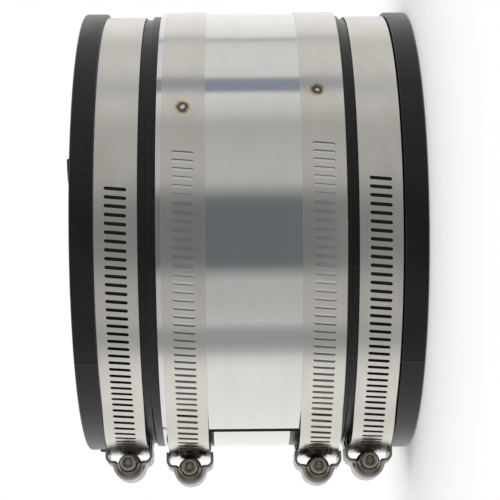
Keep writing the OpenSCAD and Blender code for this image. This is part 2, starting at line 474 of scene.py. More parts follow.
@dataclass
class Skin:
    """Points and faces of one piece, gathered in millimetres in the place of its clamp.

    Points that fall on the same spot are shared, so strips laid edge to edge close up.
    """

    points: list[Vector] = field(default_factory=list)
    faces: list[tuple[int, ...]] = field(default_factory=list)
    leans: list[list[Vector]] = field(default_factory=list)
    known: dict[tuple[int, int, int], int] = field(default_factory=dict)

    def point(self, at: Vector) -> int:
        """Gives the number of the point at a place, adding it if it is new.

        Args:
            at: The place.

        Returns:
            The number of the point.
        """
        key = tuple(round(value * POINTS_PER_MM) for value in at)
        if key not in self.known:
            self.known[key] = len(self.points)
            self.points.append(at)
        return self.known[key]

    def face(self, corners: Sequence[Vector], leans: Sequence[Vector] | Vector | None = None) -> None:
        """Adds a face.

        Args:
            corners: Its corners in order.
            leans: The way each corner's surface faces, or one for all of them.
        """
        numbers = [self.point(corner) for corner in corners]
        if len(set(numbers)) < len(numbers):
            kept = [n for n, number in enumerate(numbers) if number != numbers[n - 1]]
            if len(kept) < 3:
                return
            corners = [corners[n] for n in kept]
            leans = [leans[n] for n in kept] if isinstance(leans, (list, tuple)) else leans
            numbers = [numbers[n] for n in kept]
        if leans is None:
            self.faces.append(tuple(numbers))
            self.leans.append([Vector()] * len(numbers))
            return
        ways = [leans] * len(numbers) if isinstance(leans, Vector) else list(leans)
        facing = Vector()
        for n, corner in enumerate(corners):
            facing += corner.cross(corners[(n + 1) % len(corners)])
        if facing.dot(sum(ways, Vector())) < 0:
            numbers.reverse()
            ways.reverse()
        self.faces.append(tuple(numbers))
        self.leans.append(ways)

    def rows(self, rows: Sequence[Sequence[Vector]], closed: bool = False, around: bool = False) -> None:
        """Adds a net of faces between rows of points, with its facing left to Blender.

        Args:
            rows: The rows of points, all of one length.
            closed: True if each row comes back to its own start.
            around: True if the last row joins the first.
        """
        pairs = list(zip(rows, rows[1:])) + ([(rows[-1], rows[0])] if around else [])
        for near, far in pairs:
            for n in range(len(near) if closed else len(near) - 1):
                m = (n + 1) % len(near)
                self.face([near[n], near[m], far[m], far[n]])

    def set_down(self, name: str, place: Matrix, finish: Material) -> Piece:
        """Makes the object.

        Args:
            name: The name of the piece.
            place: Where the millimetre shape goes in the frame.
            finish: Its material.

        Returns:
            The new object.
        """
        mesh = bpy.data.meshes.new(name)
        mesh.from_pydata([place @ (p * MM) for p in self.points], [], self.faces)
        mesh.update()
        mesh.shade_smooth()
        turn = place.to_3x3()
        if any(way.length > 0 for ways in self.leans for way in ways):
            mesh.normals_split_custom_set([turn @ way for ways in self.leans for way in ways])
        mesh.materials.append(finish)
        piece = bpy.data.objects.new(name, mesh)
        bpy.context.scene.collection.objects.link(piece)
        return piece


def soften(piece: Piece, width: float, sharp: float = 35.0, rings: int = 2) -> None:
    """Rounds the sharp edges of a piece and evens its shading.

    Args:
        piece: The piece.
        width: The width of the rounding in millimetres.
        sharp: The angle above which an edge is rounded.
        rings: The number of steps in the rounding.
    """
    bevel = piece.modifiers.new("edge_round", "BEVEL")
    bevel.width = width * MM
    bevel.segments = rings
    bevel.limit_method = "ANGLE"
    bevel.angle_limit = math.radians(sharp)
    even = piece.modifiers.new("even_shading", "WEIGHTED_NORMAL")
    even.keep_sharp = True


def face_out(piece: Piece) -> None:
    """Turns every face of a closed piece outward.

    Args:
        piece: The piece.
    """
    work = bmesh.new()
    work.from_mesh(piece.data)
    bmesh.ops.recalc_face_normals(work, faces=work.faces)
    work.to_mesh(piece.data)
    work.free()


def closed_piece(name: str, rows: Sequence[Sequence[Vector]], place: Matrix, finish: Material) -> Piece:
    """Builds a closed piece from its sections.

    Args:
        name: The name of the piece.
        rows: The rings of points round it, in order.
        place: Where the millimetre shape goes in the frame.
        finish: Its material.

    Returns:
        The piece.
    """
    skin = Skin()
    skin.rows(rows, closed=True)
    skin.face(rows[0])
    skin.face(rows[-1])
    piece = skin.set_down(name, place, finish)
    face_out(piece)
    return piece


@dataclass
class Strip:
    """A strip of sheet steel bent round the bore, built as a closed skin.

    Args:
        skin: Where the faces go.
        radius_at: Gives the inner radius at an angle in degrees.
        thick: The thickness of the sheet.
        edge: The rounding of its long edges.
        columns: The places across the strip where it has a line of points.
    """

    skin: Skin
    radius_at: Callable[[float], float]
    thick: float
    edge: float = 0.1
    columns: tuple[float, ...] = (-4.7, -3.45, -1.7, 0.0, 1.7, 3.45, 4.7)

    def spot(self, angle: float, across: float, depth: float) -> Vector:
        """Gives the point of the sheet at an angle, a place across it and a height in its thickness."""
        return polar(self.radius_at(angle) + depth, angle, across)

    def lean(self, angle: float) -> Vector:
        """Gives the way the outer face looks.

        Args:
            angle: The angle round the bore.

        Returns:
            The direction, of length 1.
        """
        step = 0.05
        rise = (self.radius_at(angle + step) - self.radius_at(angle - step)) / math.radians(2 * step)
        out = polar(1.0, angle)
        side = Vector((-out.y, out.x, 0.0))
        return (out - side * (rise / self.radius_at(angle))).normalized()

    def section(self, angle: float, half: float, skew: float = 0.0, middle: float = 0.0) -> Ring:
        """Gives the ring of points round the strip at one angle.

        Args:
            angle: The angle at the strip's middle line.
            half: Half its width there.
            skew: How far the ring leans along the strip, in millimetres for each one across.
            middle: The height of the strip's middle along the bore.

        Returns:
            Pairs of a point and the way the surface faces there.
        """
        ring = []

        def put(across: float, depth: float, way: Callable[[float], Vector]) -> None:
            """Adds one point of the ring."""
            turned = angle + math.degrees(skew * across / (self.radius_at(angle) + depth))
            ring.append((self.spot(turned, across + middle, depth), way(turned)))

        outer = [-(half - self.edge), *self.columns, half - self.edge]
        for across in outer:
            put(across, self.thick, self.lean)
        for depth in (self.thick - self.edge, self.edge):
            put(half, depth, lambda _: Vector((0, 0, 1)))
        for across in reversed(outer):
            put(across, 0.0, lambda a: -self.lean(a))
        for depth in (self.edge, self.thick - self.edge):
            put(-half, depth, lambda _: Vector((0, 0, -1)))
        return ring

    def join(self, near: Ring, far: Ring, leave: Sequence[int] = ()) -> None:
        """Closes the surface between two rings.

        Args:
            near: One ring.
            far: The next ring.
            leave: The steps of the ring that stay open.
        """
        count = len(near)
        for n in range(count):
            if n in leave:
                continue
            m = (n + 1) % count
            four = (near[n], near[m], far[m], far[n])
            self.skin.face([point for point, _ in four], [way for _, way in four])

    def cap(self, ring: Ring, way: Vector) -> None:
        """Closes an end of the strip.

        Args:
            ring: The ring of points at that end.
            way: The way the end faces.
        """
        across = len(self.columns) + 2
        outer, inner = ring[:across], ring[across + 2 : 2 * across + 2][::-1]
        for n in range(across - 1):
            self.skin.face([outer[n][0], outer[n + 1][0], inner[n + 1][0], inner[n][0]], way)
        self.skin.face([outer[-1][0], ring[across][0], ring[across + 1][0], inner[-1][0]], way)
        self.skin.face([outer[0][0], inner[0][0], ring[-2][0], ring[-1][0]], way)

    def run(self, rings: list[Ring]) -> None:
        """Lays the strip through a list of rings and closes both ends.

        Args:
            rings: The rings, in order.
        """
        for near, far in zip(rings, rings[1:]):
            self.join(near, far)
        for end, inside in ((rings[0], rings[1]), (rings[-1], rings[-2])):
            self.cap(end, (end[0][0] - inside[0][0]).normalized())


# ---- the coupling's pieces ----


@dataclass
class Clamp:
    """Where one clamp sits and how its strap runs.

    Args:
        name: The clamp's name in the frame.
        body: The body its strap rides on.
        seat: The inner radius of the seated strap.
        slots_from: The angle from the housing to the first slot.
    """

    name: str
    body: Rides
    seat: float
    slots_from: float
    lift: float = 4.0
    lifted_to: float = 14.5
    seated_from: float = 30.0
    strap_t: float = 0.65
    pitch: float = 3.175
    engaged: float = 0.4
    tail: float = -30.0
    tail_slots: float = 28.0

    def __post_init__(self) -> None:
        """Reads the clamp's place from the frame."""
        low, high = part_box(f"{self.name}_strap")
        self.middle = (low.z + high.z) / 2 / MM
        self.half = (high.z - low.z) / 2 / MM
        x, y, _ = next(j for j in frame["joints"] if j["name"] == f"{self.name}_turn")["pos_m"]
        self.angle = math.degrees(math.atan2(y, x))
        self.screw_r = math.hypot(x, y) / MM

    @property
    def place(self) -> Matrix:
        """Gives the matrix that sets the clamp's own shapes down in the frame."""
        return Matrix.Translation((0, 0, self.middle * MM)) @ self.turn

    @property
    def turn(self) -> Matrix:
        """Gives the clamp's turn round the bore."""
        return Matrix.Rotation(math.radians(self.angle), 4, "Z")

    @property
    def screw_body(self) -> Rides:
        """Gives the body that the clamp's screw is."""
        return Rides(f"{self.name}_screw")

    def strap_radius(self, angle: float) -> float:
        """Gives the strap's inner radius at an angle from the housing."""
        share = (angle - self.lifted_to) / (self.seated_from - self.lifted_to)
        return self.seat + self.lift * (1 - smooth_step(share))

    @property
    def steps(self) -> Pair:
        """Gives the angle from slot to slot where the strap is lifted, and where it is seated."""
        reaches = (self.seat + self.lift + self.strap_t - self.engaged / 2, self.seat + self.strap_t / 2)
        return math.degrees(self.pitch / reaches[0]), math.degrees(self.pitch / reaches[1])

    def slot_angle(self, number: float) -> float:
        """Gives the angle of a slot from the housing.

        Args:
            number: Its number, counted from the slot under the worm.

        Returns:
            The angle.
        """
        lifted, seated = self.steps
        if number * lifted <= self.lifted_to:
            return number * lifted
        return self.lifted_to + (number - self.lifted_to / lifted) * seated

    def slot_numbers(self) -> range:
        """Gives the numbers of all the slots.

        Returns:
            The numbers, from the tail to the last slot on the seat.
        """
        lifted, seated = self.steps
        first = -math.floor(self.tail_slots / lifted)
        last = math.floor((self.slots_from - self.lifted_to) / seated + self.lifted_to / lifted)
        return range(first, last + 1)


@dataclass
class Sleeve:
    """The rubber sleeve: a thick tube with a raised middle, two grooves and two end rims."""

    bore: float = 84.0
    groove: float = 87.95
    middle: float = 89.2
    rim: float = 90.4
    middle_half: float = 37.2
    rim_from: float = 56.3
    half: float = 65.0
    round_rim: float = 0.9
    round_step: float = 0.45
    corner_steps: int = 4
    parting: Pair = (60.0, 240.0)
    flash: float = 0.12
    flash_half: float = 0.5

    def corner(self, at: Pair, come: Pair, leave: Pair, size: float) -> list[Pair]:
        """Gives the points that round one corner of the outline.

        Args:
            at: The corner, as radius and height.
            come: The direction in which the outline comes to it.
            leave: The direction in which it leaves.
            size: The size of the rounding.

        Returns:
            The points, in order.
        """
        spots = []
        for step in range(self.corner_steps + 1):
            turn = math.pi / 2 * step / self.corner_steps
            back, on = 1 - math.sin(turn), 1 - math.cos(turn)
            radius, height = (at[n] - come[n] * size * back + leave[n] * size * on for n in (0, 1))
            spots.append((radius, height))
        return spots

    def outline(self) -> list[Pair]:
        """Gives the outline of the wall.

        Returns:
            Pairs of radius and height.
        """
        out, down, up, inward = (1, 0), (0, -1), (0, 1), (-1, 0)
        spots: list[Pair] = []
        rim, step = self.round_rim, self.round_step
        for at, come, leave, size in (
            ((self.bore, -self.half), down, out, rim),
            ((self.rim, -self.half), out, up, rim),
            ((self.rim, -self.rim_from), up, inward, step),
            ((self.groove, -self.rim_from), inward, up, step),
            ((self.groove, -self.middle_half), up, out, step),
            ((self.middle, -self.middle_half), out, up, step),
            ((self.middle, self.middle_half), up, inward, step),
            ((self.groove, self.middle_half), inward, up, step),
            ((self.groove, self.rim_from), up, out, step),
            ((self.rim, self.rim_from), out, up, step),
            ((self.rim, self.half), up, inward, rim),
            ((self.bore, self.half), inward, down, rim),
        ):
            spots += self.corner(at, come, leave, size)
        return spots

    def build(self, rubber: Material) -> list[Piece]:
        """Builds the sleeve with its moulding flash, its nib and its tag.

        Args:
            rubber: The finish.

        Returns:
            The pieces.
        """
        skin = Skin()
        beside = (-0.6, -0.35, -0.15, 0.15, 0.35, 0.6)
        angles = sorted(set(spread(0, 358.5, 239)) | {p + d for p in self.parting for d in beside})
        outline = self.outline()
        rings = []
        for angle in angles:
            near = min(abs(angle - p) for p in self.parting)
            raised = self.flash * max(0.0, 1 - near / self.flash_half)
            ring = []
            for radius, height in outline:
                on_rim = radius > self.groove + 0.1 and abs(height) > self.rim_from - 0.5
                ring.append(polar(radius + (raised if on_rim else 0.0), angle, height))
            rings.append(ring)
        skin.rows(rings, closed=True, around=True)
        sleeve = skin.set_down("rubber_sleeve", Matrix(), rubber)
        face_out(sleeve)
        sleeve.modifiers.new("even_shading", "WEIGHTED_NORMAL")
        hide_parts("sleeve")
        return [sleeve, self.nib(rubber), self.tag(rubber)]

    def nib(self, rubber: Material) -> Piece:
        """Builds the small moulded wedge on the upper end face.

        Args:
            rubber: The finish.

        Returns:
            The piece.
        """
        rows = []
        slope = ((103.6, 0.02), (104.6, 0.3), (107.0, 0.62), (109.4, 0.8), (109.8, 0.78), (110.0, 0.02))
        for angle, proud in slope:
            low, high = self.half - 0.4, self.half + proud
            flank = high - 0.1
            section = ((85.4, low), (85.6, flank), (86.0, high), (88.8, high), (89.2, flank), (89.4, low))
            rows.append([polar(radius, angle, height) for radius, height in section])
        nib = closed_piece("end_face_nib", rows, Matrix(), rubber)
        soften(nib, 0.1)
        return nib

    def tag(self, rubber: Material) -> Piece:
        """Builds the small flash tag beside the upper rim.

        Args:
            rubber: The finish.

        Returns:
            The piece.
        """
        rows = []
        for angle, proud in ((9.6, -0.1), (10.0, 0.7), (10.8, 1.0), (11.6, 0.8), (12.2, -0.1)):
            section = ((89.8, 57.0), (self.rim + proud, 57.3), (self.rim + proud, 60.9), (89.8, 61.2))
            rows.append([polar(radius, angle, height) for radius, height in section])
        tag = closed_piece("rim_flash_tag", rows, Matrix(), rubber)
        soften(tag, 0.15)
        return tag


@dataclass
class ShearRing:
    """The thin stainless sheet round the middle, with a narrow tongue under its lap."""

    outside: float = 90.2
    sheet: float = 0.3
    edge: float = 0.06
    low: float = -35.5
    high: float = 33.8
    lap_from: float = 17.0
    lap_to: float = 337.0
    tongue_out: float = 89.85
    tongue_low: float = -15.9
    tongue_high: float = 14.1
    tongue_from: float = -26.0
    tongue_to: float = 37.0
    lug_low: float = 32.0
    lug_to: float = -8.0
    # painted shade: the angles, the place along the bore and the thickness of a black strip that stands in
    # for the shadow line at the lap edge
    shadow_line: Pair = (15.2, 17.3)
    shadow_along: Pair = (-19.0, 15.6)
    shadow_thick: float = 0.3

    def build(self, clamp: Clamp, steel: Material) -> Piece:
        """Builds the sheet and its tongue.

        Args:
            clamp: A clamp whose angle the lap is counted from.
            steel: The finish.

        Returns:
            The piece.
        """
        skin = Skin()
        tongue = (self.tongue_low, self.tongue_high)
        for out, (low, high), margin, columns, (start, end), steps in (
            (self.outside, (self.low, self.high), 1.5, 8, (self.lap_from, self.lap_to), 320),
            (self.tongue_out, tongue, 1.5, 4, (self.tongue_from, self.tongue_to), 63),
            (self.outside, (self.lug_low, self.high), 0.5, 2, (self.lug_to, self.lap_from + 1), 26),
        ):
            half, middle = (high - low) / 2, (high + low) / 2
            across = tuple(spread(-half + margin, half - margin, columns))
            strip = Strip(skin, lambda _, out=out: out - self.sheet, self.sheet, self.edge, across)
            strip.run([strip.section(angle, half, middle=middle) for angle in spread(start, end, steps)])
        ring = skin.set_down("shear_ring_sheet", clamp.turn, steel)
        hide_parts("shear_ring")
        return ring

    def lap_shadow(self, clamp: Clamp, rubber: Material) -> Piece:
        """Builds the thin black strip along the lap edge, a dark piece put in as painted shade for the
        shadow line there.

        Args:
            clamp: A clamp whose angle the lap is counted from.
            rubber: The finish, here the painted shade black.

        Returns:
            The piece.
        """
        low, high = self.shadow_along
        half, middle = (high - low) / 2, (high + low) / 2
        columns = tuple(spread(-15.0, 15.0, 6))
        shadow_line = Strip(Skin(), lambda _: self.tongue_out + 0.02, self.shadow_thick, columns=columns)
        shadow_line.run([shadow_line.section(angle, half, middle=middle) for angle in spread(*self.shadow_line, 4)])
        return shadow_line.skin.set_down("lap_edge_shadow_strip", clamp.turn, rubber)


@dataclass
class SlottedStrap:
    """A clamp strap with slanted punched slots and a free tail.

    Args:
        clamp: The clamp it belongs to.
    """

    clamp: Clamp
    slot_half: float = 3.45
    slot_w: float = 1.3
    slant: float = 5.0
    end_round: float = 1.5
    seat_end: float = 338.85

    def slot_loop(self, strip: Strip, number: int, depth: float) -> tuple[list[Vector], list[Vector]]:
        """Gives the points round one slot.

        Args:
            strip: The strip it is punched in.
            number: The number of the slot.
            depth: The height in the thickness of the sheet.

        Returns:
            The points, and the way the slot's wall faces at each.
        """
        wide = self.slot_w / 2
        lean = math.tan(math.radians(self.slant))
        flat = [(x, -wide, 0, 1) for x in (-self.slot_half, -1.7, 0.0, 1.7, self.slot_half)]
        tip = []
        for turn in (-math.pi / 4, 0.0, math.pi / 4):
            c, s = math.cos(turn), math.sin(turn)
            tip.append((self.slot_half + wide * c, wide * s, -c, -s))
        loop = flat + tip + [(-x, -y, -nx, -ny) for x, y, nx, ny in flat + tip]
        centre = self.clamp.slot_angle(number)
        reach = strip.radius_at(centre) + strip.thick / 2
        points, walls = [], []
        for across, along, turn_across, turn_along in loop:
            angle = centre + math.degrees((along + across * lean) / reach)
            out = polar(1.0, angle)
            points.append(strip.spot(angle, across, depth))
            walls.append(Vector((-out.y, out.x, 0)) * turn_along + Vector((0, 0, 1)) * turn_across)
        return points, walls

    def cell(self, strip: Strip, number: int, rings: Sequence[Ring]) -> None:
        """Lays the piece of strap round one slot.

        Args:
            strip: The strip.
            number: The number of the slot.
            rings: The rings before, at and after the slot.
        """
        near, at, far = rings
        open_steps = (*range(1, 7), *range(12, 18))
        strip.join(near, at, open_steps)
        strip.join(at, far, open_steps)
        top_edge = [*near[2:8], at[7], *far[7:0:-1], at[1], near[1]]
        foot_edge = [*near[17:11:-1], at[12], *far[12:19], at[18], near[18]]
        loops = []
        for depth, sign, edge in ((strip.thick, 1, top_edge), (0.0, -1, foot_edge)):
            points, walls = self.slot_loop(strip, number, depth)
            loops.append(points)
            ways = [sign * strip.lean(math.degrees(math.atan2(p.y, p.x))) for p in points]
            for n in range(len(points)):
                m = (n + 1) % len(points)
                corners = [edge[n][0], edge[m][0], points[m], points[n]]
                strip.skin.face(corners, [edge[n][1], edge[m][1], ways[m], ways[n]])
        top, foot = loops
        for n in range(len(top)):
            m = (n + 1) % len(top)
            strip.skin.face([top[n], top[m], foot[m], foot[n]], [walls[n], walls[m], walls[m], walls[n]])

    def build(self, steel: Material) -> Piece:
        """Builds the strap.

        Args:
            steel: The finish.

        Returns:
            The piece.
        """
        clamp = self.clamp
        strip = Strip(Skin(), clamp.strap_radius, clamp.strap_t)
        lean = math.tan(math.radians(self.slant))
        numbers = clamp.slot_numbers()
        reach = clamp.seat + clamp.lift
        tail = []
        for back in (0.0, 0.1, 0.35, 0.75, self.end_round):
            cut = self.end_round - math.sqrt(max(self.end_round**2 - (self.end_round - back) ** 2, 0.0))
            tail.append(strip.section(clamp.tail + math.degrees(back / reach), clamp.half - cut))
        cells = {}
        for step in range(2 * numbers[0] - 1, 2 * numbers[-1] + 2):
            cells[step] = strip.section(clamp.slot_angle(step / 2), clamp.half, lean)
        last = clamp.slot_angle(numbers[-1] + 0.5)
        plain = [strip.section(angle, clamp.half) for angle in spread(last + 1.5, self.seat_end, 220)]
        for near, far in zip(tail, tail[1:]):
            strip.join(near, far)
        strip.join(tail[-1], cells[2 * numbers[0] - 1])
        for number in numbers:
            self.cell(strip, number, [cells[2 * number - 1], cells[2 * number], cells[2 * number + 1]])
        strip.join(cells[2 * numbers[-1] + 1], plain[0])
        for near, far in zip(plain, plain[1:]):
            strip.join(near, far)
        strip.cap(tail[0], (tail[0][0][0] - tail[1][0][0]).normalized())
        strip.cap(plain[-1], (plain[-1][0][0] - plain[-2][0][0]).normalized())
        strap = strip.skin.set_down(f"{clamp.name}_slotted_strap", clamp.place, steel)
        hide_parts(f"{clamp.name}_strap")
        return strap


@dataclass
class FixedEnd:
    """The fixed end of a strap, which lies under the sliding part and is held in the housing.

    Args:
        clamp: The clamp it belongs to.
        under: The inner radius of the thin leader that runs on under the loop.
        leader_t: The thickness of the leader.
    """

    clamp: Clamp
    under: float
    leader_t: float
    clear: float = 0.3
    tip: float = 6.2
    flat_to: float = -5.5
    down_at: float = -19.0
    stop: float = -21.0
    leader_to: float = -33.0
    held: float = 5.0
    held_half: float = 8.25
    leader_inset: float = 0.3

    def radius(self, angle: float) -> float:
        """Gives the inner radius of the fixed end.

        Args:
            angle: The angle from the housing.

        Returns:
            The radius.
        """
        high = self.clamp.seat + self.clamp.lift - self.clear - self.clamp.strap_t
        share = (self.flat_to - angle) / (self.flat_to - self.down_at)
        return high + (self.clamp.seat - high) * smooth_step(share)

    def build(self, steel: Material) -> list[Piece]:
        """Builds the fixed end and its leader.

        Args:
            steel: The finish.

        Returns:
            The pieces.
        """
        clamp = self.clamp
        strip = Strip(Skin(), self.radius, clamp.strap_t)
        beside = self.held + 0.3
        rising, held = spread(self.down_at, -beside, 24), spread(-self.held, self.held, 12)
        angles = [self.stop, *rising, *held, beside, self.tip]
        rings = [strip.section(a, self.held_half if abs(a) <= self.held else clamp.half) for a in angles]
        strip.run(rings)
        end = strip.skin.set_down(f"{clamp.name}_fixed_end", clamp.place, steel)
        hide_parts(f"{clamp.name}_band_end")
        leader = Strip(Skin(), lambda _: self.under, self.leader_t, 0.05)
        narrow = clamp.half - self.leader_inset
        leader.run([leader.section(a, narrow) for a in spread(self.leader_to, self.stop + 1.0, 14)])
        return [end, leader.skin.set_down(f"{clamp.name}_leader", clamp.place, steel)]


@dataclass
class Housing:
    """The pressed worm housing: two ears, thin shoulders and a barrel with a domed front.

    Args:
        clamp: The clamp it belongs to.
    """

    clamp: Clamp
    sheet: float = 1.0
    barrel: float = 6.1
    ear: float = 8.85
    ear_round: float = 2.3
    fillet: float = 2.3
    leg: float = 6.1
    back: float = -8.85
    row_gap: float = 0.25
    barrel_from: float = 1.8
    dome_from: float = 4.4
    dome_round: float = 2.0
    dome_slope: float = 22.0
    collar: float = 4.0
    shoulder: float = -0.55
    shoulder_front: float = 7.3
    round_edge: float = 0.22

    def half_section(self, radius: float) -> list[Triple]:
        """Gives one half of the cross-section, from the leg's foot to the crown.

        Args:
            radius: The radius of the barrel at this section.

        Returns:
            Place across, height above the screw axis, and how far the point belongs to the barrel.
        """
        spots = [(self.ear, h, 0.0) for h in spread(-self.leg, self.shoulder - self.ear_round, 3)]
        for turn in spread(15, 90, 5):
            t = math.radians(turn)
            across = self.ear - self.ear_round * (1 - math.cos(t))
            spots.append((across, self.shoulder - self.ear_round * (1 - math.sin(t)), 0.0))
        rise = self.fillet + self.shoulder
        centre = math.sqrt((radius + self.fillet) ** 2 - rise**2)
        contact = math.atan2(rise, centre)
        for share in spread(0, 1, 6):
            t = math.radians(270) - share * (math.radians(90) - contact)
            spots.append((centre + self.fillet * math.cos(t), rise + self.fillet * math.sin(t), share))
        for t in spread(contact, math.pi / 2, 9)[1:]:
            spots.append((radius * math.cos(t), radius * math.sin(t), 1.0))
        return spots

    def front(self) -> list[Pair]:
        """Gives the domed front.

        Returns:
            Pairs of the barrel's radius and the place along the screw.
        """
        size, slope = self.dome_round, math.radians(self.dome_slope)
        spots = []
        for turn in spread(0, math.pi / 2 - slope, 6)[1:]:
            spots.append((self.barrel - size * (1 - math.cos(turn)), self.dome_from + size * math.sin(turn)))
        radius, at = spots[-1]
        for share in (0.5, 1.0):
            fall = (radius - self.collar) * share
            spots.append((radius - fall, at + fall * math.tan(slope)))
        return spots

    def row(self, radius: float, barrel_at: float, shoulder_at: float) -> list[Vector]:
        """Gives one row of points across the housing.

        Args:
            radius: The radius of the barrel there.
            barrel_at: The place of the barrel's points along the screw.
            shoulder_at: The place of the shoulders' points along the screw.

        Returns:
            The points, from one leg's foot to the other's.
        """
        half = self.half_section(radius)
        both = half + [(-w, h, s) for w, h, s in reversed(half[:-1])]
        forward = barrel_at - shoulder_at
        return [Vector((self.clamp.screw_r + h, shoulder_at + forward * s, w)) for w, h, s in both]

    def build(self, steel: Material) -> Piece:
        """Builds the housing.

        Args:
            steel: The finish.

        Returns:
            The piece.
        """
        skin = Skin()
        full = self.barrel
        closing = ((3.95, 0.0), (4.6, 0.02), (5.3, 0.1), (5.8, 0.4), (full, 0.95))
        rows = []
        for n, (radius, at) in enumerate(closing):
            rows.append(self.row(radius, self.back + at, self.back + self.row_gap * n))
        rows += [self.row(full, at, at) for at in spread(self.back + self.barrel_from, self.dome_from, 8)]
        front = self.front()
        for n, (radius, at) in enumerate(front):
            shoulder = self.dome_from + (self.shoulder_front - self.dome_from) * (n + 1) / len(front)
            rows.append(self.row(radius, at, shoulder))
        skin.rows(rows)
        middle = Vector((self.clamp.screw_r, 0, 0))
        lip = []
        for wider, forward in ((0.0, 0.0), (-0.12, 0.45), (-0.05, 0.95), (0.12, 1.2)):
            radius, at = self.collar + wider, front[-1][1] + forward
            turns = [math.radians(turn) for turn in spread(-4, 184, 24)]
            lip.append([middle + Vector((radius * math.sin(t), at, radius * math.cos(t))) for t in turns])
        skin.rows(lip)
        housing = skin.set_down(f"{self.clamp.name}_pressed_housing", self.clamp.place, steel)
        wall = housing.modifiers.new("sheet", "SOLIDIFY")
        wall.thickness = self.sheet * MM
        wall.offset = 0.0
        soften(housing, self.round_edge, 40.0)
        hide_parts(f"{self.clamp.name}_housing")
        return housing


@dataclass
class WormScrew:
    """The worm screw: a cupped tip, a right-handed thread and a slotted hexagon head.

    Args:
        clamp: The clamp it belongs to.
    """

    clamp: Clamp
    root: float = 3.6
    crest: float = 4.7
    pitch: float = 3.175
    thread: Pair = (-7.0, 3.9)
    tip: float = 3.15
    tip_from: float = 7.5
    reach: float = 12.0
    across_flats: float = 7.94
    head: Pair = (-16.9, -11.3)
    slot_w: float = 1.4
    slot_deep: float = 1.6
    around: int = 48
    steps_per_turn: int = 28

    def ring(self, radius: float, at: float, flats: float = 0.0) -> list[Vector]:
        """Gives a ring of points round the screw.

        Args:
            radius: The greatest radius of the ring.
            at: Its place along the screw.
            flats: The size across the flats of a hexagon that cuts it, or 0 for a round ring.

        Returns:
            The points.
        """
        ring = []
        for n in range(self.around):
            turn = 360 * n / self.around
            near = math.radians((turn + 30) % 60 - 30)
            reach = min(radius, flats / 2 / math.cos(near)) if flats else radius
            t = math.radians(turn)
            ring.append(Vector((self.clamp.screw_r + reach * math.cos(t), at, reach * math.sin(t))))
        return ring

    def build(self, plated: Material) -> Piece:
        """Builds the screw.

        Args:
            plated: The finish.

        Returns:
            The piece.
        """
        low, high = self.head
        corner = self.across_flats / 2 / math.cos(math.pi / 6)
        head = (
            (0.4, low),
            (2.4, low),
            (3.7, low + 0.02),
            (4.05, low + 0.25),
            (corner, low + 0.75),
            (corner, high - 0.35),
            (4.1, high),
        )
        rings = [self.ring(radius, at, self.across_flats) for radius, at in head]
        outline = (
            (3.9, high + 0.02),
            (3.85, high + 1.5),
            (3.3, high + 1.6),
            (3.3, -8.25),
            (self.root, -8.2),
            (self.root, self.tip_from - 0.1),
            (self.tip, self.tip_from),
            (self.tip, self.reach - 0.55),
            (self.tip - 0.12, self.reach - 0.25),
            (self.tip - 0.5, self.reach),
            (2.15, self.reach),
            (1.9, self.reach - 0.2),
            (1.75, self.reach - 2.2),
            (1.3, self.reach - 2.5),
            (0.2, self.reach - 2.6),
        )
        rings += [self.ring(radius, at) for radius, at in outline]
        screw = closed_piece(f"{self.clamp.name}_worm_screw", rings, self.clamp.place, plated)
        self.cut_slot(screw)
        soften(screw, 0.1, 38.0)
        thread = self.worm(plated)
        thread.parent = screw
        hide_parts(f"{self.clamp.name}_screw")
        return screw

    def cut_slot(self, screw: Piece) -> None:
        """Cuts the driver slot across the head.

        Args:
            screw: The screw.
        """
        deep, wide, long = self.slot_deep, self.slot_w / 2, self.across_flats
        floor, out = self.head[0] + deep, self.head[0] - 2
        section = ((-wide, out), (wide, out), (wide, floor), (-wide, floor))
        rows = [[Vector((self.clamp.screw_r + x, y, z)) for x, y in section] for z in (-long, long)]
        cutter = closed_piece("slot_cutter", rows, self.clamp.place, screw.data.materials[0])
        cut = screw.modifiers.new("driver_slot", "BOOLEAN")
        cut.object = cutter
        cut.solver = "EXACT"
        bpy.context.view_layer.update()
        made = bpy.data.meshes.new_from_object(screw.evaluated_get(bpy.context.evaluated_depsgraph_get()))
        screw.modifiers.clear()
        screw.data = made
        bpy.data.objects.remove(cutter)

    def worm(self, plated: Material) -> Piece:
        """Builds the thread, which fades out at both ends.

        Args:
            plated: The finish.

        Returns:
            The piece.
        """
        from_at, to_at = self.thread
        per_turn, foot, top = self.steps_per_turn, self.root - 0.25, self.crest
        steps = int((to_at - from_at) / self.pitch * per_turn)
        flank = [(foot, 0.92), (top - 0.12, 0.38), (top, 0.22)]
        shape = [(radius, -side) for radius, side in flank] + flank[::-1]
        rows = []
        for step in range(steps + 1):
            at = from_at + step * self.pitch / per_turn
            turn = 2 * math.pi * at / self.pitch + math.pi
            fade = min(1.0, 3 * step / per_turn + 0.15, 3 * (steps - step) / per_turn + 0.15)
            row = []
            for radius, side in shape:
                reach = foot + (radius - foot) * fade
                out, across = reach * math.cos(turn), -reach * math.sin(turn)
                row.append(Vector((self.clamp.screw_r + out, at + side, across)))
            rows.append(row)
        thread = closed_piece(f"{self.clamp.name}_worm_thread", rows, self.clamp.place, plated)
        soften(thread, 0.05, 50.0, 1)
        return thread


